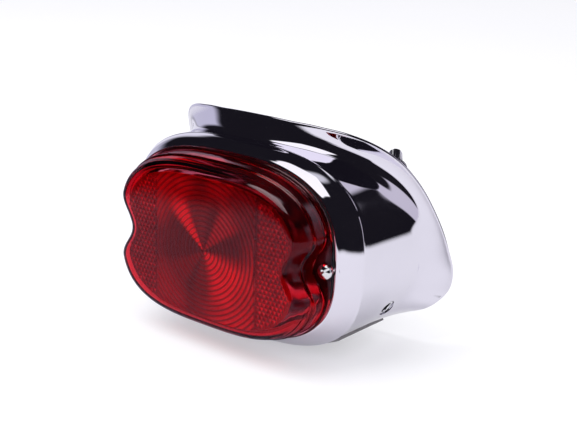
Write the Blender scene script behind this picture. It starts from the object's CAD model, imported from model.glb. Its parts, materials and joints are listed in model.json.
"""Looks of a motorcycle tail light: chrome housing, ribbed red lens, studs,
inserts, screws, plate window, bulb and socket, on a pale floor.

The lens faces -Y, the housing flares open towards +Y, +Z is up and "right"
is +X.  Shapes are written in millimetres about the centre of the lens rings
and moved into the frame by SHIFT."""
import json
import math

import bmesh
import bpy
import numpy as np
from mathutils import Matrix, Vector


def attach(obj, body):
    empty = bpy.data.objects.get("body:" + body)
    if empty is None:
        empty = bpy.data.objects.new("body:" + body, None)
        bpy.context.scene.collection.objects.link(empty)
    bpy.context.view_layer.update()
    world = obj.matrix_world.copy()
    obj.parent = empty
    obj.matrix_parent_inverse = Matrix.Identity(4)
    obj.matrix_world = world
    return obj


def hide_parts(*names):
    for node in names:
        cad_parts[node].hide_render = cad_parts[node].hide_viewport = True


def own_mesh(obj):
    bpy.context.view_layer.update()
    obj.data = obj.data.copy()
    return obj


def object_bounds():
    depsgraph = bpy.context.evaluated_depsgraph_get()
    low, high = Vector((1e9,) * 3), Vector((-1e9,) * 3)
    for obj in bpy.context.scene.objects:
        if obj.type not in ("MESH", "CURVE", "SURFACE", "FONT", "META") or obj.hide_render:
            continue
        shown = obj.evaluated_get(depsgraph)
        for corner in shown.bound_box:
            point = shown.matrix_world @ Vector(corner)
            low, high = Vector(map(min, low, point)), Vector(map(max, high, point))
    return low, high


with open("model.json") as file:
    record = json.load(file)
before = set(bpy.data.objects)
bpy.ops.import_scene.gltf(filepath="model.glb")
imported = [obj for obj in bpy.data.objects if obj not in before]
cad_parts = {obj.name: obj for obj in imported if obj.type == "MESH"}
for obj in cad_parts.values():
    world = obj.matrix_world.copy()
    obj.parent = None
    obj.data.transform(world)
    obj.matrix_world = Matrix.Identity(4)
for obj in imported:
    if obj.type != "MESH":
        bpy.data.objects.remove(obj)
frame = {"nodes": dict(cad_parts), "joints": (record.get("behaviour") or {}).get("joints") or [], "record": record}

CAD_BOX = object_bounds()
MM = 0.001
TAU = 2.0 * math.pi
SIDES = ((1, "right"), (-1, "left"))

# ---------------------------------------------------------- shared dimensions
LENS_SCREW_X = 54.1
NOTCH_Z = 1.1                 # height of the side notches and the screws in them
SCREW_HOLE_R = 2.2
SHEET = 1.4                   # thickness of the housing metal
FACE_Y = -13.15               # plane of the relief behind the lens face

# Oval sections: half width, half height, power, centre z
RIM = (56.85, 38.40, 2.80, 1.40)
CREASE = (64.40, 43.10, 2.80, 0.60)

# The right lens screw places the millimetre shapes in the frame.
JOINTS = {joint["name"]: joint for joint in frame["joints"]}
SHIFT = (Vector(JOINTS["lens_screw_right_turn"]["pos_m"])
         - Vector((LENS_SCREW_X, 0.0, NOTCH_Z)) * MM)

scene = bpy.context.scene
scene.view_settings.view_transform = "Standard"
scene.view_settings.look = "None"


# ------------------------------------------------------------ curves and rows
def angles(count):
    return TAU * np.arange(count) / count


def points(x, y, z):
    """Rows of x, y, z from arrays or single values."""
    return np.stack(np.broadcast_arrays(x, y, z), 1)


def smoothstep(low, high, value):
    u = np.clip((value - low) / (high - low), 0, 1)
    return u * u * (3 - 2 * u)


def hermite(u, start, end, start_slope, end_slope):
    return ((2 * u ** 3 - 3 * u ** 2 + 1) * start + (u ** 3 - 2 * u ** 2 + u) * start_slope
            + (-2 * u ** 3 + 3 * u ** 2) * end + (u ** 3 - u ** 2) * end_slope)


def oval_radius(phi, half_width, half_height, power):
    return (np.abs(np.cos(phi) / half_width) ** power
            + np.abs(np.sin(phi) / half_height) ** power) ** (-1.0 / power)


def hollow(z, depth, notch_half):
    """Depth of a side notch at height z."""
    return depth * np.cos(0.5 * math.pi * np.clip((z - NOTCH_Z) / notch_half, -1, 1)) ** 2


def oval(half_width, half_height, power, centre_z, turn, notch=0.0, notch_half=15.0):
    """x and z of a rounded oval with an optional hollow in each side."""
    phi = np.arctan2(half_height * np.sin(turn), half_width * np.cos(turn))
    r = oval_radius(phi, half_width, half_height, power)
    x, z = r * np.cos(phi), centre_z + r * np.sin(phi)
    return x - np.sign(x) * hollow(z, notch, notch_half), z


def rows_of(stations, turn, notch_half=15.0):
    """Rows of points from stations of half width, half height, power, centre
    z, y and notch depth."""
    rows = []
    for *section, y, notch in stations:
        x, z = oval(*section, turn, notch, notch_half)
        rows.append(points(x, y, z))
    return rows


def spread(stations, per):
    """Smooth in-between stations by Catmull-Rom, `per` to each gap."""
    p = np.array(stations, float)
    gaps = np.hypot(np.diff(p[:, 0]), np.diff(p[:, 4])) + 1e-6
    s = np.concatenate([[0], np.cumsum(gaps)])
    out = []
    for i in range(len(p) - 1):
        before, after = max(i - 1, 0), min(i + 2, len(p) - 1)
        gap = s[i + 1] - s[i]
        slope = (p[i + 1] - p[before]) / (s[i + 1] - s[before]) * gap
        next_slope = (p[after] - p[i]) / (s[after] - s[i]) * gap
        for k in range(per):
            out.append(hermite(k / per, p[i], p[i + 1], slope, next_slope))
    out.append(p[-1])
    return out


def rounded(profile, radius, steps=4):
    """Round the corners of an open (radius, distance) profile."""
    p = [np.array(point, float) for point in profile]
    out = [tuple(p[0])]
    for before, corner, after in zip(p[:-2], p[1:-1], p[2:]):
        to_before, to_after = before - corner, after - corner
        len_before, len_after = np.linalg.norm(to_before), np.linalg.norm(to_after)
        r = min(radius, 0.45 * len_before, 0.45 * len_after)
        start = corner + to_before / len_before * r
        end = corner + to_after / len_after * r
        for k in range(steps + 1):
            f = k / steps
            out.append(tuple((1 - f) ** 2 * start + 2 * f * (1 - f) * corner + f * f * end))
    out.append(tuple(p[-1]))
    return out


def smooth_path(guide, steps):
    p = [np.array(point, float) for point in guide]
    p = [2 * p[0] - p[1]] + p + [2 * p[-1] - p[-2]]
    out = []
    for i in range(1, len(p) - 2):
        for s in range(steps):
            u = s / steps
            out.append(0.5 * (2 * p[i] + (p[i + 1] - p[i - 1]) * u
                              + (2 * p[i - 1] - 5 * p[i] + 4 * p[i + 1] - p[i + 2]) * u * u
                              + (-p[i - 1] + 3 * p[i] - 3 * p[i + 1] + p[i + 2]) * u ** 3))
    out.append(p[-2])
    return out


# -------------------------------------------------------------------- meshing
def make(name, verts, faces, sharp=None):
    """A mesh object from millimetre points.  It is smooth with edges over
    `sharp` degrees kept sharp, or flat when none is given."""
    metres = np.asarray(verts, float) * MM + np.array(SHIFT)
    mesh = bpy.data.meshes.new(name)
    mesh.from_pydata(metres.tolist(), [], [list(map(int, face)) for face in faces])
    mesh.validate()
    ob = bpy.data.objects.new(name, mesh)
    scene.collection.objects.link(ob)
    bm = bmesh.new()
    bm.from_mesh(mesh)
    bmesh.ops.remove_doubles(bm, verts=bm.verts, dist=1.5e-6)
    bmesh.ops.dissolve_degenerate(bm, edges=bm.edges, dist=1e-7)
    bmesh.ops.recalc_face_normals(bm, faces=bm.faces)
    bm.to_mesh(mesh)
    bm.free()
    if sharp is not None:
        mesh.shade_smooth()
        mesh.set_sharp_from_angle(angle=math.radians(sharp))
    return ob


def band(first, second, count):
    """Quads between two closed rows that start at the given indices."""
    return [(first + (i + 1) % count, first + i, second + i, second + (i + 1) % count)
            for i in range(count)]


def skin(name, rows, sharp, wrap=False):
    """Skin equal closed rows.  The last row joins the first, or both ends
    get a flat cap."""
    n, last = len(rows[0]), len(rows) - 1
    faces = []
    for k in range(last):
        faces += band(k * n, (k + 1) * n, n)
    if wrap:
        faces += band(last * n, 0, n)
    else:
        faces.append(list(range(n)))
        faces.append([last * n + i for i in reversed(range(n))])
    return make(name, np.concatenate(rows), faces, sharp)


def turn_to(axis):
    """Rotation that takes +Z to the axis."""
    return Vector((0, 0, 1)).rotation_difference(Vector(axis).normalized()).to_matrix()


def lathe(name, profile, origin, axis, segments, sharp=30.0, warp=None):
    """A turned piece.  The profile is (radius, distance); it starts and ends
    on the axis, or closes on itself.  warp(radius, distance, angle) may
    change the radius, which is how threads are cut."""
    turn = angles(segments)
    verts, faces, rings = [], [], []
    for r, s in profile:
        on_axis = r < 1e-6
        rings.append((len(verts), on_axis))
        if on_axis:
            verts.append((0.0, 0.0, s))
            continue
        for t in turn:
            radius = warp(r, s, t) if warp else r
            verts.append((radius * math.cos(t), radius * math.sin(t), s))
    pairs = list(zip(rings[:-1], rings[1:]))
    if profile[0][0] > 1e-6:
        pairs.append((rings[-1], rings[0]))
    for (low, low_on_axis), (high, high_on_axis) in pairs:
        if low_on_axis:
            faces += [(low, high + i, high + (i + 1) % segments) for i in range(segments)]
        elif high_on_axis:
            faces += [(low + (i + 1) % segments, low + i, high) for i in range(segments)]
        else:
            faces += band(low, high, segments)
    placed = np.array(verts) @ np.array(turn_to(axis)).T + np.array(origin)
    return make(name, placed, faces, sharp)


def tube(name, path, radius, around, bevel):
    """A round wire along a path, with bevelled and capped ends."""
    path = [np.array(point, float) for point in path]
    last = len(path) - 1
    tangents = [path[min(i + 1, last)] - path[max(i - 1, 0)] for i in range(len(path))]
    tangents = [v / np.linalg.norm(v) for v in tangents]
    up = np.array([0.0, 0.0, 1.0]) if abs(tangents[0][2]) < 0.9 else np.array([1.0, 0, 0])
    side = np.cross(tangents[0], up)
    side /= np.linalg.norm(side)
    turn = angles(around)[:, None]
    rows = []
    for point, tangent in zip(path, tangents):
        side = side - tangent * (side @ tangent)
        side /= np.linalg.norm(side)
        over = np.cross(tangent, side)
        rows.append(point + radius * (np.cos(turn) * side + np.sin(turn) * over))
    for end, outward in ((0, -1), (-1, 1)):
        centre = rows[end].mean(0)
        cap = centre + (rows[end] - centre) * (1 - bevel / radius)
        rows[end] = rows[end] - tangents[end] * outward * bevel
        rows = [cap] + rows if end == 0 else rows + [cap]
    return skin(name, rows, sharp=40.0)


def slab(name, verts, faces, back_y, sharp):
    """A relief closed by a flat face at back_y, as one solid."""
    verts = np.asarray(verts, float)
    n = len(verts)
    flat = verts.copy()
    flat[:, 1] = back_y
    edges = dict.fromkeys((a, b) for f in faces for a, b in zip(f, [*f[1:], f[0]]))
    sides = [(b, a, n + a, n + b) for (a, b) in edges if (b, a) not in edges]
    backs = [[n + i for i in reversed(f)] for f in faces]
    return make(name, np.concatenate([verts, flat]), [*faces, *backs, *sides], sharp)


def box_mesh(low, high, matrix=Matrix()):
    corners = np.array([[x, y, z] for x in (low[0], high[0]) for y in (low[1], high[1])
                        for z in (low[2], high[2])], float)
    placed = corners @ np.array(matrix.to_3x3()).T + np.array(matrix.translation)
    faces = [(0, 1, 3, 2), (4, 6, 7, 5), (0, 4, 5, 1), (2, 3, 7, 6), (0, 2, 6, 4), (1, 5, 7, 3)]
    return placed, faces


def bar_mesh(radius, start, end, around=48):
    start, end = np.array(start, float), np.array(end, float)
    t = angles(around)
    circle = points(radius * np.cos(t), radius * np.sin(t), 0.0)
    circle = circle @ np.array(turn_to(end - start)).T
    faces = [(i, (i + 1) % around, around + (i + 1) % around, around + i)
             for i in range(around)]
    faces += [list(reversed(range(around))), [around + i for i in range(around)]]
    return np.concatenate([circle + start, circle + end]), faces


def cut(ob, shapes, sharp):
    """Cut closed shapes out of a piece."""
    verts, faces, base = [], [], 0
    for shape_verts, shape_faces in shapes:
        verts.append(shape_verts)
        faces += [[base + i for i in face] for face in shape_faces]
        base += len(shape_verts)
    tool = make("cutter", np.concatenate(verts), faces)
    modifier = ob.modifiers.new("Cut", "BOOLEAN")
    modifier.operation = "DIFFERENCE"
    modifier.solver = "EXACT"
    modifier.object = tool
    bpy.context.view_layer.update()
    evaluated = ob.evaluated_get(bpy.context.evaluated_depsgraph_get())
    mesh = bpy.data.meshes.new_from_object(evaluated)
    ob.modifiers.clear()
    old = ob.data
    ob.data = mesh
    bpy.data.meshes.remove(old)
    bpy.data.objects.remove(tool, do_unlink=True)
    mesh.shade_smooth()
    mesh.set_sharp_from_angle(angle=math.radians(sharp))


# --------------------------------------------------------------- node helpers
class Graph:
    """Short helper to wire a material or world by hand."""

    def __init__(self, tree):
        self.tree = tree
        tree.nodes.clear()

    def put(self, socket, value):
        """Link or set a socket; None leaves it alone, a colour gains alpha 1."""
        if isinstance(value, bpy.types.NodeSocket):
            self.tree.links.new(value, socket)
        elif value is not None:
            default = socket.default_value
            if hasattr(default, "__len__") and len(default) == 4 and len(value) == 3:
                value = (*value, 1.0)
            socket.default_value = value

    def fill(self, node, inputs):
        for key, value in inputs.items():
            self.put(node.inputs[key], value)

    def node(self, kind, inputs={}, **properties):
        node = self.tree.nodes.new("ShaderNode" + kind)
        for key, value in properties.items():
            setattr(node, key, value)
        self.fill(node, inputs)
        return node

    def math(self, operation, *values):
        return self.node("Math", dict(enumerate(values)), operation=operation).outputs[0]

    def ramp(self, factor, stops):
        """Stops are (position, grey or colour)."""
        node = self.node("ValToRGB", {0: factor})
        elements = node.color_ramp.elements
        while len(elements) < len(stops):
            elements.new(0.5)
        for element, (position, c) in zip(elements, stops):
            element.position = position
            element.color = (c, c, c, 1.0) if isinstance(c, (int, float)) else (*c, 1.0)
        return node.outputs[0]

    def fade(self, value, start, end, low=0.0, high=1.0):
        """Smooth change from low to high while the value goes start to end."""
        return self.node("MapRange", {"Value": value, "From Min": start, "From Max": end,
                                      "To Min": low, "To Max": high},
                         interpolation_type="SMOOTHSTEP", clamp=True).outputs[0]

    def mix(self, factor, a, b, blend="MIX"):
        return self.node("Mix", {0: factor, 6: a, 7: b},
                         data_type="RGBA", blend_type=blend).outputs[2]

    def times(self, colour, factor):
        return self.mix(1.0, colour, factor, "MULTIPLY")

    def noise(self, scale, detail, rough, vector=None):
        if vector is None:
            vector = self.coords()
        return self.node("TexNoise", {"Scale": scale, "Detail": detail, "Roughness": rough,
                                      "Vector": vector}).outputs[0]

    def coords(self):
        return self.node("TexCoord").outputs["Object"]

    def stretch(self, scale):
        return self.node("Mapping", {"Scale": scale, "Vector": self.coords()}).outputs[0]

    def split(self, vector):
        return self.node("SeparateXYZ", {0: vector}).outputs

    def bump(self, height, distance, strength=1.0, normal=None):
        return self.node("Bump", {"Strength": strength, "Distance": distance,
                                  "Height": height, "Normal": normal}).outputs[0]

    def mix_shaders(self, factor, first, second):
        return self.node("MixShader", {0: factor, 1: first, 2: second}).outputs[0]


# ------------------------------------------------------------------ materials
MATERIALS = {}


def new_material(name):
    material = bpy.data.materials.new(name)
    material.use_nodes = True
    MATERIALS[name] = material
    net = Graph(material.node_tree)
    return net, net.node("OutputMaterial")


def principled(name):
    net, output = new_material(name)
    shader = net.node("BsdfPrincipled")
    net.put(output.inputs[0], shader.outputs[0])
    return net, shader, output


def metal(name, colour, rough, rough_spread=0.05, wave=0.0, wave_scale=70.0, brushed=None,
          grime=0.0):
    """Plated or bare metal: uneven haze, slight waviness, brushing stretched
    by a scale along each axis, and darker deposits where asked."""
    net, shader, _ = principled(name)
    haze = net.noise(scale=38.0, detail=5.0, rough=0.6)
    base = net.mix(haze, tuple(c * 0.96 for c in colour),
                   tuple(min(1, c * 1.03) for c in colour))
    if grime:
        spots = net.fade(net.noise(scale=160.0, detail=6.0, rough=0.65), start=0.56, end=0.72)
        base = net.mix(net.math("MULTIPLY", spots, grime), base,
                       tuple(c * 0.35 for c in colour))
    normal = None
    if wave:
        normal = net.bump(net.noise(scale=wave_scale, detail=1.0, rough=0.4), distance=wave)
    if brushed is not None:
        lines = net.noise(scale=1.0, detail=3.0, rough=0.6, vector=net.stretch(brushed))
        normal = net.bump(lines, distance=0.00003, strength=0.6, normal=normal)
    net.fill(shader, {
        "Base Color": base, "Metallic": 1.0, "Normal": normal,
        "Roughness": net.fade(haze, start=0.3, end=0.7, low=max(rough - rough_spread, 0.01),
                              high=rough + rough_spread)})


def plastic(name, colour, rough, variation, grain, grain_scale=900.0, specular=0.5):
    net, shader, _ = principled(name)
    mottle = net.noise(scale=140.0, detail=4.0, rough=0.6)
    bumps = net.noise(scale=grain_scale, detail=3.0, rough=0.6)
    net.fill(shader, {
        "Base Color": net.mix(mottle, tuple(c * (1 - variation) for c in colour),
                              tuple(min(1, c * (1 + variation)) for c in colour)),
        "Roughness": net.fade(mottle, start=0.3, end=0.7, low=rough - 0.06, high=rough + 0.08),
        "Specular IOR Level": specular,
        "Normal": net.bump(bumps, distance=grain, strength=0.8)})


def worn_surface(net, rough):
    """Noise over a clear piece, and the uneven roughness it gives."""
    haze = net.noise(scale=60.0, detail=4.0, rough=0.55)
    return haze, net.fade(haze, start=0.3, end=0.7, low=rough * 0.6, high=rough * 1.4 + 0.002)


def let_light_through(net, output, shader, tint):
    """Near shadow rays pass, so light reaches what lies close behind."""
    path = net.node("LightPath").outputs
    near = net.fade(path["Ray Length"], start=0.020, end=0.026, low=1.0, high=0.0)
    passing = net.node("BsdfTransparent", {0: tint}).outputs[0]
    factor = net.math("MULTIPLY", path["Is Shadow Ray"], near)
    net.put(output.inputs[0], net.mix_shaders(factor, shader, passing))


def clear(name, tint, rough, ior, haze=0.0, haze_colour=None):
    """Clear glass or acrylic, with a share of dull haze where asked."""
    net, output = new_material(name)
    mottle, worn = worn_surface(net, rough)
    shader = net.node("BsdfGlass", {
        "Color": net.mix(mottle, tuple(c * 0.97 for c in tint), tint),
        "Roughness": worn, "IOR": ior}).outputs[0]
    if haze:
        dull = net.node("BsdfDiffuse", {0: haze_colour}).outputs[0]
        shader = net.mix_shaders(haze, shader, dull)
    let_light_through(net, output, shader, tint)


# Colour of the lens shine by how far the reflection points up, from straight
# down (0) to straight up (1).
LENS_SHINE = [(0.0, (0.11, 0.100, 0.135)), (0.45, (0.12, 0.110, 0.145)),
              (0.62, (0.20, 0.13, 0.16)), (0.78, (0.54, 0.36, 0.43)),
              (0.88, (0.86, 0.62, 0.70)), (0.95, (1.3, 0.95, 1.0)), (1.0, (1.5, 1.1, 1.2))]
LENS_SHINE_GAIN = (3.0, 3.0, 3.0)


def red_acrylic(name, rough, ior, wave, kept, depth):
    """Polished acrylic: clear inside, a strong shine where it faces up.
    `kept` is the share of red, green and blue left after `depth` metres."""
    net, output = new_material(name)
    white = (1.0, 1.0, 1.0)
    _, worn = worn_surface(net, rough)
    ripple = net.bump(net.noise(scale=45.0, detail=1.0, rough=0.4), distance=wave)
    reflected = net.split(net.node("TexCoord").outputs["Reflection"])
    lift = net.ramp(net.math("MULTIPLY_ADD", reflected[2], 0.5, 0.5), LENS_SHINE)
    backfacing = net.node("NewGeometry").outputs["Backfacing"]
    shine = net.mix(backfacing, net.times(lift, LENS_SHINE_GAIN), white)
    inside = net.node("BsdfRefraction", {"Color": white, "Roughness": worn, "IOR": ior,
                                         "Normal": ripple})
    glossy = net.node("BsdfGlossy", {"Color": shine, "Roughness": worn, "Normal": ripple})
    fresnel = net.node("Fresnel", {"IOR": ior, "Normal": ripple})
    shader = net.mix_shaders(fresnel.outputs[0], inside.outputs[0], glossy.outputs[0])
    let_light_through(net, output, shader, white)
    loss = [-math.log(share) / depth for share in kept]
    density = max(loss) * 1.04
    volume = net.node("VolumeAbsorption", {"Color": tuple(1 - v / density for v in loss),
                                           "Density": density})
    net.put(output.inputs["Volume"], volume.outputs[0])


metal("housing_chrome", colour=(0.80, 0.775, 0.87), rough=0.035, rough_spread=0.02,
      wave=0.00003, wave_scale=55.0)
metal("screw_chrome", colour=(0.78, 0.77, 0.80), rough=0.10, wave=0.00002, wave_scale=400.0,
      grime=0.35)
metal("steel_bright", colour=(0.60, 0.60, 0.63), rough=0.27, rough_spread=0.10, grime=0.5,
      brushed=(900.0, 60.0, 900.0))
metal("stud_steel", colour=(0.80, 0.80, 0.84), rough=0.12, rough_spread=0.06, grime=0.3)
metal("bore_steel_dark", colour=(0.10, 0.10, 0.115), rough=0.35, rough_spread=0.1, grime=0.5)
metal("reflector_bright", colour=(0.84, 0.84, 0.86), rough=0.14, rough_spread=0.06,
      wave=0.00004, wave_scale=120.0, brushed=(500.0, 500.0, 30.0))
metal("brass", colour=(0.78, 0.58, 0.28), rough=0.24, rough_spread=0.10, grime=0.45,
      brushed=(60.0, 900.0, 60.0))
metal("solder", colour=(0.58, 0.58, 0.60), rough=0.36, rough_spread=0.12, wave=0.0002,
      wave_scale=900.0, grime=0.3)
metal("tungsten", colour=(0.32, 0.31, 0.31), rough=0.38, rough_spread=0.1, grime=0.3)
plastic("seal_black", colour=(0.018, 0.018, 0.019), rough=0.72, variation=0.3, grain=0.00012,
        grain_scale=1400.0, specular=0.3)
plastic("phenolic", colour=(0.17, 0.085, 0.04), rough=0.55, variation=0.35, grain=0.00005,
        grain_scale=700.0)
plastic("insulator_black", colour=(0.02, 0.02, 0.028), rough=0.18, variation=0.3,
        grain=0.00003)
plastic("wire_blue", colour=(0.03, 0.075, 0.38), rough=0.36, variation=0.2, grain=0.00003)
plastic("wire_red", colour=(0.50, 0.02, 0.02), rough=0.36, variation=0.2, grain=0.00003)
plastic("wire_black", colour=(0.017, 0.017, 0.018), rough=0.36, variation=0.3, grain=0.00003)
metal("copper_core", colour=(0.85, 0.46, 0.30), rough=0.25, rough_spread=0.08,
      brushed=(900.0, 60.0, 900.0))
clear("bulb_glass", tint=(0.97, 0.98, 0.98), rough=0.004, ior=1.47)
clear("window_clear", tint=(0.93, 0.94, 0.95), rough=0.16, ior=1.49, haze=0.42,
      haze_colour=(0.36, 0.34, 0.36))
red_acrylic("lens_red", rough=0.012, ior=1.49, wave=0.00002, kept=(0.88, 0.095, 0.145),
            depth=0.0025)

# Each material slot of the CAD pieces carries the name of its material.
NODE_SLOT = {part["node"]: part["material_slot"] for part in frame["record"]["subparts"]}
for node_name, cad_piece in frame["nodes"].items():
    cad_piece.data.materials.clear()
    cad_piece.data.materials.append(MATERIALS[NODE_SLOT[node_name]])


def dress(ob, body, slot, *nodes, look=None):
    """Give a piece its material (the slot's own unless another look is
    named), its body, its slot and the CAD pieces it stands for."""
    ob.data.materials.clear()
    ob.data.materials.append(MATERIALS[look or slot])
    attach(ob, body)
    if nodes:
        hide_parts(*nodes)


# -------------------------------------------------------------------- housing
HOUSING_STEPS = 512
HOUSING_NOTCH_HALF = 14.0
CREASE_Y = 10.0
WALL_Y = 10.9                 # where the side wall starts behind the crease
TAIL_Y = 54.4                 # rear edge of the underside
WALL_ROWS = 10
FLARE_ROWS = 20

# Stations: half width, half height, power, centre z, y, notch depth
LIP = [(50.5, 32.0, 2.80, 1.40, 1.5, 7.2), (53.5, 35.0, 2.80, 1.40, 1.5, 2.4)]
BAND = [(55.8, 37.3, 2.80, 1.40, 1.5, 0.0), (57.1, 38.7, 2.80, 1.40, 1.8, 0.0),
        (58.2, 39.6, 2.80, 1.30, 2.7, 0.0), (60.3, 40.9, 2.80, 1.10, 4.5, 0.0),
        (62.6, 42.2, 2.80, 0.80, 7.2, 0.0), (64.1, 42.95, 2.80, 0.64, 9.45, 0.0)]
ROLL = [(64.38, 43.08, 2.80, 0.61, 9.72, 0.0), (64.56, 43.26, 2.80, 0.60, CREASE_Y, 0.0),
        (64.53, 43.23, 2.80, 0.60, 10.3, 0.0), (64.43, 43.13, 2.80, 0.60, 10.6, 0.0)]
ROLL_ROW = 25                 # a row of the outer surface within the roll

# x, z of the flared rear edge, from the top down the +X side
BRIM = ((0.0, 54.3), (17.0, 53.7), (32.0, 52.5), (44.2, 50.2), (53.2, 46.2),
        (60.1, 40.2), (64.5, 32.7), (69.9, 15.4), (72.4, -1.0), (73.2, -12.5),
        (71.4, -20.6), (66.6, -27.2), (58.0, -30.8))
# Below that the edge follows the crease at these angles, a little outside it.
UNDERSIDE_DEGREES = (-37.0, -46.0, -56.0, -67.0, -78.0, -90.0)
UNDERSIDE_GROWTH = 0.35

# The window opening in the underside
WINDOW_HALF = 48.2
WINDOW_Y = (17.3, 51.1)
WINDOW_GAP = 0.3
WINDOW_CUT_Z = (-60.0, -22.0)

# Inserts: centre on the right, and outward axis
INSERT = (58.9, 35.0, -22.8)
INSERT_AXIS = (0.84, 0.0, -0.5426)
INSERT_HOLE_R = 4.05

SADDLE_TILT = 0.28            # forward slope of the saddle with height
SADDLE_X2 = 3.95e-3           # curvature across x
SADDLE_X4 = 3.27e-7


def saddle(x, z):
    """y of the curved surface that the rear edge lies on."""
    return 16.0 - SADDLE_TILT * (z - 50.0) + SADDLE_X2 * x * x + SADDLE_X4 * x ** 4


def brim_stations():
    """(angle, radius) of the rear edge about the crease centre."""
    centre_z = CREASE[3]
    stations = [(math.atan2(z - centre_z, x), math.hypot(x, z - centre_z)) for x, z in BRIM]
    for degrees in UNDERSIDE_DEGREES:
        phi = math.radians(degrees)
        stations.append((phi, oval_radius(phi, *CREASE[:3]) + UNDERSIDE_GROWTH))
    return sorted(stations)


BRIM_STATIONS = brim_stations()


def brim_radius(phi):
    """Radius of the rear edge; both sides are alike, so the angle is folded."""
    folded = math.asin(max(-1.0, min(1.0, math.sin(phi))))
    s = BRIM_STATIONS
    k = max(i for i in range(len(s) - 1) if s[i][0] <= folded + 1e-9)
    start, end = s[k], s[k + 1]
    before = s[k - 1] if k > 0 else (2 * s[0][0] - s[1][0], s[1][1])
    after = s[k + 2] if k + 2 < len(s) else (2 * s[-1][0] - s[-2][0], s[-2][1])
    gap = end[0] - start[0]
    slope = (end[1] - before[1]) / (end[0] - before[0]) * gap
    next_slope = (after[1] - start[1]) / (after[0] - start[0]) * gap
    return hermite((folded - start[0]) / gap, start[1], end[1], slope, next_slope)


def brim_point(phi):
    r = brim_radius(phi)
    x, z = r * math.cos(phi), CREASE[3] + r * math.sin(phi)
    low = smoothstep(-20.0, -34.0, z)
    return x, saddle(x, z) * (1 - low) + TAIL_Y * low, z


def housing_outer():
    """Rows of the outer surface, from the lip behind the lens to the rear edge."""
    turn = angles(HOUSING_STEPS)
    outer = rows_of(LIP + spread(BAND, 4) + ROLL, turn, HOUSING_NOTCH_HALF)
    crease_x, crease_z = oval(*CREASE, turn)
    ends = np.array([brim_point(math.atan2(z - CREASE[3], x))
                     for x, z in zip(crease_x, crease_z)])
    end_x, end_y, end_z = ends.T
    # length of the flare along y, how far it turns, and how round it is
    reach = np.minimum(12.0 + 8.0 * smoothstep(5.0, 38.0, crease_z)
                       + 11.0 * smoothstep(6.0, 23.0, -crease_z), 0.85 * (end_y - CREASE_Y))
    top = smoothstep(8.0, 34.0, crease_z)
    sweep = np.radians(24.0 + 66.0 * smoothstep(-23.0, -2.0, crease_z) - 7.0 * top)
    bend = 2.0 / (2.0 + 1.3 * top)
    for k in range(WALL_ROWS + 1):
        y = WALL_Y + (end_y - reach - WALL_Y) * (k / WALL_ROWS)
        outer.append(points(crease_x, y, crease_z))
    for k in range(1, FLARE_ROWS):
        angle = sweep * k / FLARE_ROWS
        out = ((1 - np.clip(np.cos(angle), 0, 1) ** bend)
               / (1 - np.clip(np.cos(sweep), 0, 1) ** bend))
        back = (np.sin(angle) / np.sin(sweep)) ** bend
        outer.append(points(crease_x + (end_x - crease_x) * out, end_y - reach + reach * back,
                            crease_z + (end_z - crease_z) * out))
    outer.append(points(crease_x + (end_x - crease_x), end_y - reach + reach,
                        crease_z + (end_z - crease_z)))
    return np.array(outer)


def housing_rows():
    """The outer surface, a round rear edge and the inner surface."""
    grid = housing_outer()
    along = np.gradient(grid, axis=0)
    around = np.roll(grid, -1, 1) - np.roll(grid, 1, 1)
    normal = np.cross(around, along)
    normal /= np.linalg.norm(normal, axis=2, keepdims=True)
    # outward is away from the section's middle
    if (normal[ROLL_ROW] * (grid[ROLL_ROW] - grid[ROLL_ROW].mean(0))).sum() < 0:
        normal = -normal
    tangent = grid[-1] - grid[-2]
    tangent /= np.linalg.norm(tangent, axis=1, keepdims=True)
    half = SHEET / 2
    edge_normal = normal[-2]
    grid[-1] = grid[-1] - tangent * half
    middle = grid[-1] - edge_normal * half
    edge = [middle + half * (edge_normal * math.cos(w) + tangent * math.sin(w))
            for w in np.linspace(0, math.pi, 9)[1:-1]]
    inner = grid - normal * SHEET
    inner[-1] = middle - edge_normal * half
    return list(grid) + edge + list(inner[::-1])


def screw_holes(start_y, end_y):
    return [bar_mesh(SCREW_HOLE_R, (side * LENS_SCREW_X, start_y, NOTCH_Z),
                     (side * LENS_SCREW_X, end_y, NOTCH_Z)) for side, _ in SIDES]


def build_housing():
    housing = skin("housing_shell_chrome", housing_rows(), sharp=50.0, wrap=True)
    shapes = []
    for (side, _), screw_hole in zip(SIDES, screw_holes(0.5, 6.0)):
        mirror = np.array([side, 1.0, 1.0])
        centre, axis = np.array(INSERT) * mirror, np.array(INSERT_AXIS) * mirror
        shapes.append(screw_hole)
        shapes.append(bar_mesh(INSERT_HOLE_R, centre - 5 * axis, centre + 5 * axis))
    half = WINDOW_HALF + WINDOW_GAP
    shapes.append(box_mesh((-half, WINDOW_Y[0] - WINDOW_GAP, WINDOW_CUT_Z[0]),
                           (half, WINDOW_Y[1] + WINDOW_GAP, WINDOW_CUT_Z[1])))
    cut(housing, shapes, sharp=40.0)
    dress(housing, "housing", "housing_chrome", "housing_shell")


def build_screw_post(side, label):
    outer_r, front, back = 4.0, 2.5, 15.7
    profile = rounded([(outer_r, front), (outer_r, back), (SCREW_HOLE_R, back),
                       (SCREW_HOLE_R, front)], 0.25)
    post = lathe("lens_screw_post_" + label, profile, (side * LENS_SCREW_X, 0, NOTCH_Z),
                 (0, 1, 0), 40)
    dress(post, "housing", "housing_chrome")


build_housing()
for side, label in SIDES:
    build_screw_post(side, label)

# ----------------------------------------------------------------------- lens
LENS_STEPS = 288
LENS_FACE_Y = -15.9           # middle of the outer face
LENS_INNER_Y = -13.55         # flat inner face

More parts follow.
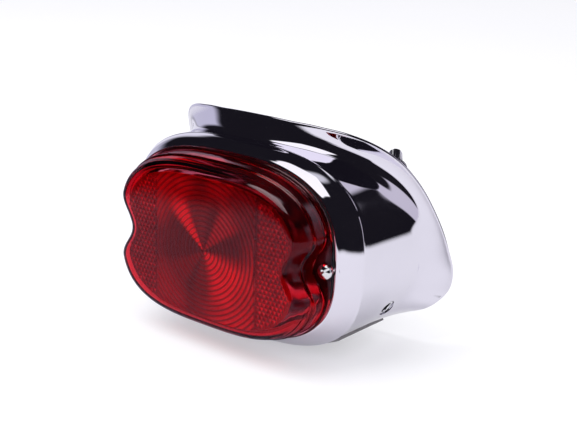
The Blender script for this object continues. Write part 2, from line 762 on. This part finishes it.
# Stations: half width, half height, power, centre z, y, notch depth
LENS_FLANGE = [
    (*RIM, 0.0, 0.0), (*RIM, -0.35, 0.0),
    (56.80, 38.35, 2.80, 1.40, -0.68, 0.0), (56.63, 38.18, 2.80, 1.40, -0.98, 0.0),
    (56.35, 37.90, 2.80, 1.40, -1.18, 0.0), (56.05, 37.60, 2.80, 1.39, -1.22, 2.0),
    (55.90, 37.45, 2.80, 1.38, -1.15, 5.0), (55.78, 37.33, 2.80, 1.36, -1.06, 7.7)]
LENS_WALL = [
    (55.62, 37.17, 2.80, 1.35, -1.08, 7.95), (55.50, 37.05, 2.80, 1.33, -1.35, 8.0),
    (55.25, 36.90, 2.83, 1.10, -3.8, 7.95), (54.98, 36.72, 2.87, 0.90, -6.3, 7.9),
    (54.90, 36.66, 2.88, 0.85, -6.9, 7.9), (54.62, 36.42, 2.90, 0.80, -7.35, 7.9),
    (54.15, 36.02, 2.92, 0.76, -7.60, 7.85), (53.75, 35.72, 2.95, 0.72, -8.05, 7.8),
    (53.45, 35.48, 3.00, 0.66, -8.9, 7.75), (52.55, 34.85, 3.06, 0.50, -11.0, 7.6),
    (51.4, 33.98, 3.12, 0.50, -13.0, 7.4), (50.2, 32.9, 3.13, 0.55, -14.2, 7.0),
    (48.4, 31.3, 3.13, 0.60, -14.9, 6.5), (45.0, 28.4, 3.10, 0.60, -15.25, 5.0),
    (41.0, 25.0, 3.00, 0.50, -15.42, 3.4), (30.0, 18.0, 2.60, 0.30, -15.7, 0.3),
    (15.0, 9.5, 2.20, 0.00, -15.86, 0.0)]
LENS_INNER = [
    (15.0, 9.5, 2.20, 0.00, LENS_INNER_Y, 0.0), (30.0, 18.0, 2.60, 0.30, LENS_INNER_Y, 0.3),
    (41.0, 25.0, 3.00, 0.50, LENS_INNER_Y, 3.8), (45.2, 28.6, 3.10, 0.60, -13.52, 5.6),
    (48.2, 31.2, 3.10, 0.60, -13.2, 6.8), (49.6, 32.3, 3.10, 0.50, -12.0, 7.25),
    (50.5, 32.9, 3.08, 0.50, -10.0, 7.4), (51.3, 33.4, 3.00, 0.55, -7.5, 7.6),
    (51.9, 34.0, 2.92, 0.80, -4.5, 7.7), (52.4, 34.4, 2.82, 1.20, -1.0, 7.7),
    (52.5, 34.5, 2.80, 1.30, 0.0, 7.7)]


def build_lens():
    """Outer rows run in to a middle point, inner rows run back out from
    another, and the two meet round the flange."""
    turn = angles(LENS_STEPS)
    outer = rows_of(LENS_FLANGE + spread(LENS_WALL, 5), turn)
    inner = rows_of(spread(LENS_INNER, 4), turn)
    n, total = LENS_STEPS, len(outer) + len(inner)
    middles = np.array([[0, LENS_FACE_Y, 0], [0, LENS_INNER_Y, 0]])
    verts = np.concatenate(outer + inner + [middles])
    outer_middle, inner_middle = total * n, total * n + 1
    last_outer, first_inner = (len(outer) - 1) * n, len(outer) * n
    faces = []
    for k in range(len(outer) - 1):
        faces += band(k * n, (k + 1) * n, n)
    for i in range(n):
        j = (i + 1) % n
        faces.append((last_outer + j, last_outer + i, outer_middle))
        faces.append((inner_middle, first_inner + i, first_inner + j))
    for k in range(len(outer), total - 1):
        faces += band(k * n, (k + 1) * n, n)
    faces += band((total - 1) * n, 0, n)
    lens = make("lens_body", verts, faces, sharp=40.0)
    cut(lens, screw_holes(-6.0, 3.0), sharp=40.0)
    dress(lens, "lens_cover", "lens_red", "lens")


# --------------------------------------------- red relief behind the lens face
RIB_PITCH = 2.15
RIB_COUNT = 22
RIB_SAMPLES = (0.0, 0.12, 0.28, 0.46, 0.64, 0.80, 0.86, 0.93)   # shares of a pitch
RING_STEPS = 480
RING_ZONE = 27.66             # the rings end at this x on both sides
FACE_OVAL = (46.8, 30.2, 3.1)  # half width, half height, power of the relief area
CELL = 1.27                   # corner radius of one hexagonal cell
CELL_Y = FACE_Y - 0.12
CELL_DEPTH = 0.62
CELL_MARGIN = 1.5             # from cell middles to the edge of the relief area
BACKING_STEPS = 240
# Backing plate rows: share of the face radius, y behind the face plane
BACKING = ((0.25, 0.75), (0.5, 0.75), (0.75, 0.75), (0.995, 0.75), (1.0, 0.8),
           (1.0, 1.25), (0.5, 1.25))


def face_radius(phi):
    """Radius of the relief area along a direction, notches included."""
    r = oval_radius(phi, *FACE_OVAL) + 0.6 * np.sin(phi)
    return r - hollow(r * np.sin(phi), 6.2, 13.0) * np.abs(np.cos(phi))


def rib_height(r):
    """Depth of the ring relief: each rib is a shallow convex band that ends
    in a short steep step."""
    u = np.mod(r / RIB_PITCH, 1.0)
    rise = np.clip(u / 0.84, 0, 1)
    drop = np.clip((1.0 - u) / 0.16, 0, 1)
    return -(0.30 * (1 - (1 - rise) ** 1.6) * drop + 0.05 * np.sin(math.pi * rise))


def build_rings():
    n = RING_STEPS
    phi = angles(n)
    limit = np.minimum(face_radius(phi), RING_ZONE / np.maximum(np.abs(np.cos(phi)), 1e-6))
    radii = [(k + u) * RIB_PITCH for k in range(RIB_COUNT) for u in RIB_SAMPLES]
    radii = [r for r in radii if 0.2 < r < 47.0]
    rows = [np.array([(0.0, FACE_Y - 0.05, 0.0)])]
    for r in radii:
        held = np.minimum(r, limit)
        rows.append(points(held * np.cos(phi), FACE_Y + rib_height(held), held * np.sin(phi)))
    faces = [(0, 1 + i, 1 + (i + 1) % n) for i in range(n)]
    # a row goes on outward only where it hasn't reached the limit
    for k in range(len(radii) - 1):
        goes_on = radii[k] < limit - 1e-9
        a, b = 1 + k * n, 1 + (k + 1) * n
        for i in range(n):
            j = (i + 1) % n
            if goes_on[i] and goes_on[j]:
                faces.append((a + i, b + i, b + j, a + j))
            elif goes_on[i]:
                faces.append((a + i, b + i, a + j))
            elif goes_on[j]:
                faces.append((a + i, b + j, a + j))
    used = sorted({i for face in faces for i in face})
    new_index = {i: k for k, i in enumerate(used)}
    rings = slab("lens_rings", np.concatenate(rows)[used],
                 [[new_index[i] for i in face] for face in faces], FACE_Y + 0.9, sharp=28.0)
    optic_material("lens_rings_red", "rings")
    dress(rings, "lens_cover", "lens_red", look="lens_rings_red")


def build_cells():
    """Cube corner cells on a hexagonal grid at both sides of the rings."""
    verts, faces, seen = [], [], {}

    def vert(x, z, depth):
        key = (round(x, 3), round(z, 3))
        if key not in seen:
            seen[key] = len(verts)
            verts.append((x, CELL_Y + depth, z))
        return seen[key]

    for i in range(-30, 31):
        for j in range(-24, 25):
            x = CELL * math.sqrt(3) * (i + 0.5 * (j % 2))
            z = CELL * 1.5 * j
            edge = float(face_radius(np.array([math.atan2(z, x)]))[0])
            if abs(x) < RING_ZONE + 1.25 or math.hypot(x, z) >= edge - CELL_MARGIN:
                continue
            middle = vert(x, z, CELL_DEPTH)
            ring = []
            for c in range(6):
                w = math.radians(30 + 60 * c)
                ring.append(vert(x + CELL * math.cos(w), z + CELL * math.sin(w),
                                 0.0 if c % 2 else CELL_DEPTH / 2))
            for c in (0, 2, 4):
                faces.append((ring[(c + 2) % 6], ring[(c + 1) % 6], ring[c], middle))
    cells = slab("lens_reflex_cells", verts, faces, FACE_Y + 0.8, sharp=4.0)
    relief = cells.data.attributes.new("relief", "FLOAT", "POINT")
    depths = [(v.co.y - SHIFT.y) / MM - CELL_Y for v in cells.data.vertices]
    relief.data.foreach_set("value", [max(0.0, min(1.0, d / CELL_DEPTH)) for d in depths])
    optic_material("lens_cells_red", "cells")
    dress(cells, "lens_cover", "lens_red", look="lens_cells_red")


def build_backing():
    """Plain plate behind the relief and its margin."""
    n = BACKING_STEPS
    turn = angles(n)
    half_width, half_height, _ = FACE_OVAL
    phi = np.arctan2(half_height * np.sin(turn), half_width * np.cos(turn))
    radius = face_radius(phi)
    rows = [points(radius * share * np.cos(phi), FACE_Y + y, radius * share * np.sin(phi))
            for share, y in BACKING]
    middles = np.array([[0, FACE_Y + BACKING[0][1], 0], [0, FACE_Y + BACKING[-1][1], 0]])
    last, front_middle = (len(rows) - 1) * n, len(rows) * n
    faces = [(front_middle, (i + 1) % n, i) for i in range(n)]
    faces += [(front_middle + 1, last + i, last + (i + 1) % n) for i in range(n)]
    for k in range(len(rows) - 1):
        faces += [(k * n + i, k * n + (i + 1) % n, (k + 1) * n + (i + 1) % n, (k + 1) * n + i)
                  for i in range(n)]
    backing = make("lens_face_backing", np.concatenate(rows + [middles]), faces, sharp=40.0)
    optic_material("lens_margin_red", "margin")
    dress(backing, "lens_cover", "lens_red", look="lens_margin_red")


# Wedges of light: middle, half width and soft edge in degrees, and strength
INNER_BASE, INNER_WEDGES = 0.085, (
    (222, 26, 18, 0.16), (272, 30, 20, 0.16), (322, 50, 36, 1.15), (410, 21, 12, 0.46),
    (462, 28, 18, 0.12), (490, 18, 14, 1.25))
OUTER_BASE, OUTER_WEDGES = 0.18, (
    (225, 32, 20, 0.24), (322, 72, 54, 0.62), (435, 18, 12, 0.22), (494, 40, 24, 0.34))
# Brightness across one rib by share of the pitch, and across a cell by depth
RIB_RAMP = [(0.0, 0.30), (0.12, 0.75), (0.40, 1.20), (0.74, 1.10), (0.86, 0.45), (1.0, 0.28)]
CELL_RAMP = [(0.0, 0.22), (0.45, 0.62), (1.0, 2.2)]
CELL_LEVEL = (0.40, 0.40, 0.40)      # grey that evens out the wedges on the cells
MARGIN_LEVEL = (0.55, 0.55, 0.55)
OPTIC_RED = (1.0, 0.03, 0.045)


def wedges(net, turn, base, lobes):
    """Brightness by direction: a base and soft-edged lobes added to it."""
    total = net.math("MULTIPLY_ADD", turn, 0.0, base)
    for middle, half, soft, strength in lobes:
        shifted = net.math("FRACT", net.math("ADD", turn, 0.5 - (middle - 180.0) / 360.0))
        off = net.math("ABSOLUTE", net.math("SUBTRACT", shifted, 0.5))
        total = net.math("ADD", total, net.fade(off, start=(half - soft) / 360.0,
                                                end=half / 360.0, low=strength, high=0.0))
    return total


def optic_material(name, kind):
    """Moulded red relief seen through the lens.  The ribs throw light in
    wedges of different strength."""
    net, shader, _ = principled(name)
    place = net.node("VectorMath", {0: net.coords(), 1: tuple(SHIFT)}, operation="SUBTRACT")
    x, _, z = net.split(place.outputs[0])
    r = net.math("SQRT", net.math("ADD", net.math("MULTIPLY", x, x),
                                  net.math("MULTIPLY", z, z)))
    # share of a turn, with 0 at the left (-X)
    turn = net.math("ADD", net.math("DIVIDE", net.math("ARCTAN2", z, x), TAU), 0.5)
    ragged = net.math("SUBTRACT", net.noise(scale=60.0, detail=2.0, rough=0.5), 0.5)
    turn = net.math("ADD", turn, net.math("MULTIPLY", ragged, 0.02))
    bright = net.mix(net.fade(r, start=0.018, end=0.029),
                     wedges(net, turn, INNER_BASE, INNER_WEDGES),
                     wedges(net, turn, OUTER_BASE, OUTER_WEDGES))
    if kind == "rings":
        along_rib = net.math("FRACT", net.math("DIVIDE", r, RIB_PITCH * MM))
        bright = net.times(bright, net.ramp(along_rib, RIB_RAMP))
        hub = net.fade(r, start=0.0006, end=0.0016, low=0.35, high=1.0)
        bright = net.times(bright, hub)
    mottle = net.noise(scale=130.0, detail=3.0, rough=0.6)
    bright = net.times(bright, net.fade(mottle, start=0.25, end=0.75, low=0.86, high=1.12))
    if kind == "margin":
        bright = net.times(bright, MARGIN_LEVEL)
    if kind == "cells":
        relief = net.node("Attribute", attribute_name="relief").outputs["Fac"]
        evenness = 0.6
        bright = net.mix(evenness, bright, CELL_LEVEL)
        bright = net.times(bright, net.ramp(relief, CELL_RAMP))
        uneven = net.noise(scale=300.0, detail=2.0, rough=0.6)
        bright = net.times(bright, net.fade(uneven, start=0.35, end=0.65, low=0.7, high=1.25))
    net.fill(shader, {
        "Base Color": net.mix(1.0, OPTIC_RED, bright, "MULTIPLY"), "Roughness": 0.32,
        "Specular IOR Level": 0.35, "Specular Tint": (1.0, 0.35, 0.38)})


build_lens()
build_rings()
build_cells()
build_backing()

# --------------------------------------------------- screws, studs and inserts
SCREW_R = 1.9
SCREW_PITCH = 0.794
SCREW_THREAD = 0.42           # thread depth
SLOT_WIDTH, SLOT_DEPTH = 0.9, 1.25
SLOT_CLEAR = 0.5              # how far the slot cutter stands out of the head

STUD_XZ = (58.5, 35.0)
STUD_R, STUD_PITCH, STUD_THREAD = 3.0, 1.27, 0.74
STUD_THREAD_SPAN = (1.95, 14.2)

BORE_R, BORE_PITCH, BORE_THREAD = 2.55, 0.9, 0.32


def thread_warp(radius, pitch, depth, start, end, fade=0.6):
    """Helical thread cut into a bar between two distances; it deepens over
    the first `fade` millimetres."""
    def warp(r, s, angle):
        if s < start - 1e-6 or s > end + 1e-6 or abs(r - radius) > 1e-3:
            return r
        u = (s / pitch - angle / TAU) % 1.0
        tooth = min(1.0, max(0.0, (abs(2 * u - 1.0) - 0.12) / 0.76))
        return r - depth * (1 - tooth) * max(0.0, min(1.0, (s - start) / fade))
    return warp


def bar_rows(r, start, end, pitch, per):
    """Profile points along a bar, about `per` to each thread pitch."""
    count = max(2, int(round((end - start) / pitch * per)))
    return [(r, start + (end - start) * k / count) for k in range(count + 1)]


def slotted(name, seat, direction, length, head_r, head_h, turn, body, slot, node):
    """A slotted domed screw whose head rests on the seat."""
    thread = (0.6, length - 0.9)
    head = rounded([(0.0, -head_h), (head_r * 0.42, -head_h + 0.07),
                    (head_r * 0.78, -head_h + 0.46), (head_r * 0.97, -head_h + 1.05),
                    (head_r, -head_h + 1.45), (head_r, 0.0), (SCREW_R, 0.0),
                    (SCREW_R, 0.55)], 0.28)
    tip = [(SCREW_R - 0.55, length - 0.15), (SCREW_R - 0.75, length), (0.0, length)]
    screw = lathe(name, head + bar_rows(SCREW_R, *thread, SCREW_PITCH, 9) + tip,
                  seat, direction, 72, 32.0,
                  thread_warp(SCREW_R, SCREW_PITCH, SCREW_THREAD, *thread))
    axis = Vector(direction).normalized()
    place = turn_to(axis).to_4x4() @ Matrix.Rotation(turn, 4, "Z")
    place.translation = Vector(seat) - axis * (head_h - SLOT_DEPTH / 2 + SLOT_CLEAR)
    corner = np.array([SLOT_WIDTH / 2, 2 * head_r, SLOT_DEPTH / 2 + SLOT_CLEAR])
    cut(screw, [box_mesh(-corner, corner, place)], sharp=32.0)
    dress(screw, body, slot, node)


def build_stud(side, label):
    """A stud standing square on the rear edge surface."""
    x, z = side * STUD_XZ[0], STUD_XZ[1]
    slope_x = 2 * SADDLE_X2 * x + 4 * SADDLE_X4 * x ** 3
    normal = Vector((-slope_x, 1.0, SADDLE_TILT)).normalized()
    seat = Vector((x, saddle(x, z), z)) + normal * (SHEET + 1.4)
    profile = rounded([(0.0, 0.0), (4.8, 0.0), (4.8, 1.0), (3.35, 1.25), (STUD_R, 1.6),
                       (STUD_R, 1.9)], 0.2, 3)
    profile += bar_rows(STUD_R, *STUD_THREAD_SPAN, STUD_PITCH, 10)
    profile += [(2.5, 14.8), (2.2, 15.0), (0.0, 15.0)]
    stud = lathe("mounting_stud_%s_steel" % label, profile, seat, normal, 72, 32.0,
                 thread_warp(STUD_R, STUD_PITCH, STUD_THREAD, *STUD_THREAD_SPAN))
    dress(stud, "housing", "steel_bright", "mounting_stud_" + label, look="stud_steel")


def build_insert(side, label):
    """A flanged bush with a threaded bore, darker inside."""
    mirror = Vector((side, 1.0, 1.0))
    normal = (Vector(INSERT_AXIS) * mirror).normalized()
    centre = Vector(INSERT) * mirror
    shell = [(2.95, -0.5), (3.55, -0.5), (3.72, -0.44), (3.8, -0.28), (3.8, 1.8), (5.6, 1.8),
             (5.6, 3.0), (4.0, 3.0), (4.0, 9.0), (BORE_R, 9.0)]
    bore = [(BORE_R, s) for s in np.arange(8.8, 0.05, -0.09)] + [(2.56, 0.0), (2.75, -0.36)]
    insert = lathe("bracket_insert_%s_steel" % label, shell + bore, centre, -normal, 64, 32.0,
                   thread_warp(BORE_R, BORE_PITCH, -BORE_THREAD, 0.04, 8.9, fade=0.3))
    dress(insert, "housing", "steel_bright", "bracket_insert_" + label, look="stud_steel")
    insert.data.materials.append(MATERIALS["bore_steel_dark"])
    eye = SHIFT + centre * MM
    for face in insert.data.polygons:
        off = face.center - eye
        depth = -off.dot(normal)
        if (off + normal * depth).length < 2.9 * MM and depth > 0.1 * MM:
            face.material_index = 1


# Side, label, body of the lens screw, turn of its slot in degrees
for side, label, body, degrees in ((1, "right", "lens_screw_r", 52),
                                   (-1, "left", "lens_screw_l", -24)):
    turn = math.radians(degrees)
    slotted("lens_screw_%s_chrome" % label, seat=(side * LENS_SCREW_X, -1.3, NOTCH_Z),
            direction=(0, 1, 0), length=9.9, head_r=3.3, head_h=2.4, turn=turn,
            body=body, slot="screw_chrome", node="lens_screw_" + label)
    slotted("reflector_screw_%s_steel" % label, seat=(side * LENS_SCREW_X, 17.3, NOTCH_Z),
            direction=(0, -1, 0), length=7.0, head_r=3.4, head_h=2.2, turn=-turn,
            body="housing", slot="steel_bright", node="reflector_screw_" + label)
for side, label in SIDES:
    build_stud(side, label)
for side, label in SIDES:
    build_insert(side, label)

# ----------------------------------------------------------- wires and spring
# Label, body, slot and guide points of each wire
WIRES = (
    ("tail", "plunger", "wire_blue",
     [(0, 42.5, -3.1), (0, 46.0, -2.2), (-0.6, 49.5, -1.4), (-3.5, 55.0, -3.0),
      (-8.0, 60.0, -9.0), (-9.0, 61.5, -17.0)]),
    ("brake", "plunger", "wire_red",
     [(0, 42.5, 3.1), (0, 46.0, 2.2), (0.6, 49.5, 1.4), (4.5, 55.0, -1.0),
      (10.0, 60.0, -7.0), (12.0, 61.5, -15.0)]),
    ("earth", "housing", "wire_black",
     [(0.0, 36.0, -10.3), (0.0, 42.0, -11.0), (1.0, 50.0, -13.0), (2.0, 57.0, -19.0),
      (2.0, 60.5, -26.0)]))
CORE_R = 0.62

COIL_R = 6.2
COIL_TURNS, COIL_STEPS = 3, 40
COIL_Y = (41.4, 46.5)


def build_wire(label, body, slot, guide):
    path = smooth_path(guide, 14)
    sleeve = tube("wire_%s_sleeve" % label, path, radius=1.05, around=20, bevel=0.22)
    dress(sleeve, body, slot, "wire_" + label)
    tail = path[-1] - path[-2]
    tail /= np.linalg.norm(tail)
    profile = rounded([(0.0, -0.6), (CORE_R, -0.6), (CORE_R, 0.35), (0.0, 0.42)], 0.1, 3)
    core = lathe("wire_%s_core" % label, profile, path[-1], tail, 20)
    dress(core, body, slot, look="copper_core")


def build_spring():
    count = COIL_TURNS * COIL_STEPS
    coil = []
    for i in range(count + 1):
        w = TAU * i / COIL_STEPS
        y = COIL_Y[0] + (COIL_Y[1] - COIL_Y[0]) * i / count
        coil.append((COIL_R * math.cos(w), y, COIL_R * math.sin(w)))
    spring = tube("contact_spring_wire", coil, radius=0.40, around=14, bevel=0.1)
    dress(spring, "housing", "steel_bright", "contact_spring")
    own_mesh(spring)


for wire in WIRES:
    build_wire(*wire)
build_spring()


# ---------------------------------------------------------------------- floor
def floor_material(name):
    """Pale and softly glowing; mirror rays pass through it far from the lamp."""
    net, shader, output = principled(name)
    is_glossy = net.node("LightPath").outputs["Is Glossy Ray"]
    glow, glossy_change = 0.40, -0.24
    net.fill(shader, {
        "Base Color": net.mix(net.noise(scale=3.0, detail=3.0, rough=0.5),
                              (0.60, 0.595, 0.605), (0.63, 0.625, 0.635)),
        "Emission Color": (0.97, 0.965, 1.0),
        "Emission Strength": net.math("MULTIPLY_ADD", is_glossy, glossy_change, glow),
        "Roughness": 0.9, "Specular IOR Level": 0.1})
    place = net.node("NewGeometry").outputs["Position"]
    distance = net.node("VectorMath", {0: place}, operation="LENGTH").outputs["Value"]
    far_off = net.math("MULTIPLY", net.fade(distance, start=0.26, end=0.36),
                       net.node("LightPath").outputs["Is Glossy Ray"])
    hidden = net.node("BsdfTransparent").outputs[0]
    net.put(output.inputs[0], net.mix_shaders(far_off, shader.outputs[0], hidden))


def build_floor():
    z = CAD_BOX[0].z - 0.0006
    mesh = bpy.data.meshes.new("floor")
    mesh.from_pydata([(-6, -6, z), (6, -6, z), (6, 6, z), (-6, 6, z)], [], [(0, 1, 2, 3)])
    floor = bpy.data.objects.new("floor", mesh)
    scene.collection.objects.link(floor)
    floor_material("floor_pale")
    mesh.materials.append(MATERIALS["floor_pale"])


build_floor()


# ---------------------------------------------------------------------- light
def room_colour(net):
    """The room seen in reflections, drawn by direction in degrees: azimuth 0
    is -Y and 90 is +X, elevation 90 is up."""
    x, y, z = net.split(net.node("TexCoord").outputs["Generated"])
    degree = math.radians(1.0)
    elevation = net.math("DIVIDE", net.math("ARCSINE", z), degree)
    azimuth = net.math("DIVIDE", net.math("ARCTAN2", x, net.math("MULTIPLY", y, -1.0)), degree)

    def within(value, span, soft):
        return net.math("MULTIPLY", net.fade(value, span[0] - soft, span[0] + soft),
                        net.fade(value, span[1] - soft, span[1] + soft, 1, 0))

    def card(room, across, up, colour, soft):
        """Add a soft box over spans of azimuth and elevation, whose edges
        are softened by `soft` degrees across and up."""
        cover = net.math("MULTIPLY", within(azimuth, across, soft[0]),
                         within(elevation, up, soft[1]))
        return net.mix(cover, room, colour)

    dark = (0.010, 0.009, 0.013)
    room = net.mix(0.0, dark, dark)
    room = card(room, across=(-200, 200), up=(81, 95), colour=(0.70, 0.70, 0.74), soft=(4, 4))

    # big overhead soft box: its lower edge is 36 degrees up at azimuth -5 and
    # rises 0.35 degrees for each degree to either side
    aside = net.math("ABSOLUTE", net.math("ADD", azimuth, 5.0))
    edge = net.math("ADD", 36.0, net.math("MULTIPLY", aside, 0.35))
    above = net.fade(net.math("SUBTRACT", elevation, edge), start=-1.5, end=1.5)
    beside = net.math("MULTIPLY", net.fade(azimuth, start=-101, end=-91),
                      net.fade(azimuth, start=38, end=44, low=1, high=0))
    room = net.mix(net.math("MULTIPLY", above, beside), room, (1.22, 1.21, 1.22))

    room = card(room, across=(-118, -70), up=(-32, 13), colour=(0.60, 0.59, 0.72), soft=(5, 7))
    room = card(room, across=(-140, -119), up=(-20, 29), colour=(0.82, 0.81, 0.90),
                soft=(3, 4))

    # pale wall to the right and behind: its foot climbs through 24 degrees at
    # azimuth 148 and stops at 34.5, its head climbs from 29 to 46
    climb = 1.3
    foot = net.math("MINIMUM", 34.5,
                    net.math("MULTIPLY_ADD", azimuth, climb, 24.0 - 148.0 * climb))
    head = net.fade(azimuth, start=128, end=150, low=29, high=46)
    inside = net.math("MULTIPLY",
                      net.fade(net.math("SUBTRACT", elevation, foot), start=-1.5, end=2.5),
                      net.fade(net.math("SUBTRACT", head, elevation), start=-2.5, end=3.5))
    wall = net.math("MULTIPLY", inside, net.fade(azimuth, start=91, end=97))
    room = net.mix(wall, room, (0.64, 0.61, 0.70))

    room = card(room, across=(-200, -170), up=(35, 46), colour=(0.62, 0.61, 0.68), soft=(6, 3))
    return card(room, across=(16, 200), up=(-50, -13), colour=(0.80, 0.78, 0.84),
                soft=(8, 1.5))


def build_world():
    """Mirror and refracted rays see the room, the camera sees a pale
    backdrop, and all other rays see an even soft light."""
    world = bpy.data.worlds.new("studio")
    scene.world = world
    world.use_nodes = True
    net = Graph(world.node_tree)
    output = net.node("OutputWorld")

    def background(colour, strength):
        return net.node("Background", {0: colour, 1: strength}).outputs[0]

    room = background(room_colour(net), strength=1.0)
    soft = background((0.96, 0.97, 1.0), strength=0.86)
    pale = background((0.97, 0.97, 0.98), strength=1.0)
    path = net.node("LightPath").outputs
    sharp_ray = net.math("MAXIMUM", path["Is Glossy Ray"], path["Is Transmission Ray"])
    lit = net.mix_shaders(sharp_ray, soft, room)
    net.put(output.inputs[0], net.mix_shaders(path["Is Camera Ray"], lit, pale))


def area(name, position, size, power):
    """A round light aimed at the frame's origin, unseen in reflections."""
    light = bpy.data.lights.new(name, "AREA")
    light.shape = "DISK"
    light.size = size
    light.energy = power
    ob = bpy.data.objects.new(name, light)
    scene.collection.objects.link(ob)
    ob.location = position
    ob.rotation_mode = "QUATERNION"
    ob.rotation_quaternion = (-Vector(position)).to_track_quat("-Z", "Y")
    ob.visible_glossy = False


build_world()
area("key", position=(-0.35, -0.55, 1.15), size=1.1, power=9.0)
area("fill", position=(0.9, -0.5, 0.6), size=0.8, power=2.5)

# --------------------------------------------------------------------- camera
CAMERA_PLACE = (0.31371, -0.34304, 0.15226)   # metres from the ring centre
CAMERA_HEADING, CAMERA_DIP, CAMERA_ROLL = (math.radians(d) for d in (39.27, 16.71, 1.66))


def build_camera():
    data = bpy.data.cameras.new("camera")
    camera = bpy.data.objects.new("camera", data)
    scene.collection.objects.link(camera)
    look = Vector((-math.sin(CAMERA_HEADING) * math.cos(CAMERA_DIP),
                   math.cos(CAMERA_HEADING) * math.cos(CAMERA_DIP), -math.sin(CAMERA_DIP)))
    level = Vector((math.cos(CAMERA_HEADING), math.sin(CAMERA_HEADING), 0.0))
    upright = level.cross(look)
    right = level * math.cos(CAMERA_ROLL) + upright * math.sin(CAMERA_ROLL)
    up = upright * math.cos(CAMERA_ROLL) - level * math.sin(CAMERA_ROLL)
    place = Matrix((right, up, -look)).transposed().to_4x4()
    place.translation = Vector(CAMERA_PLACE) + SHIFT
    camera.matrix_world = place
    data.sensor_width = 36.0
    data.lens = 71.750433276
    data.clip_start = 0.01
    data.clip_end = 30.0
    scene.camera = camera


build_camera()
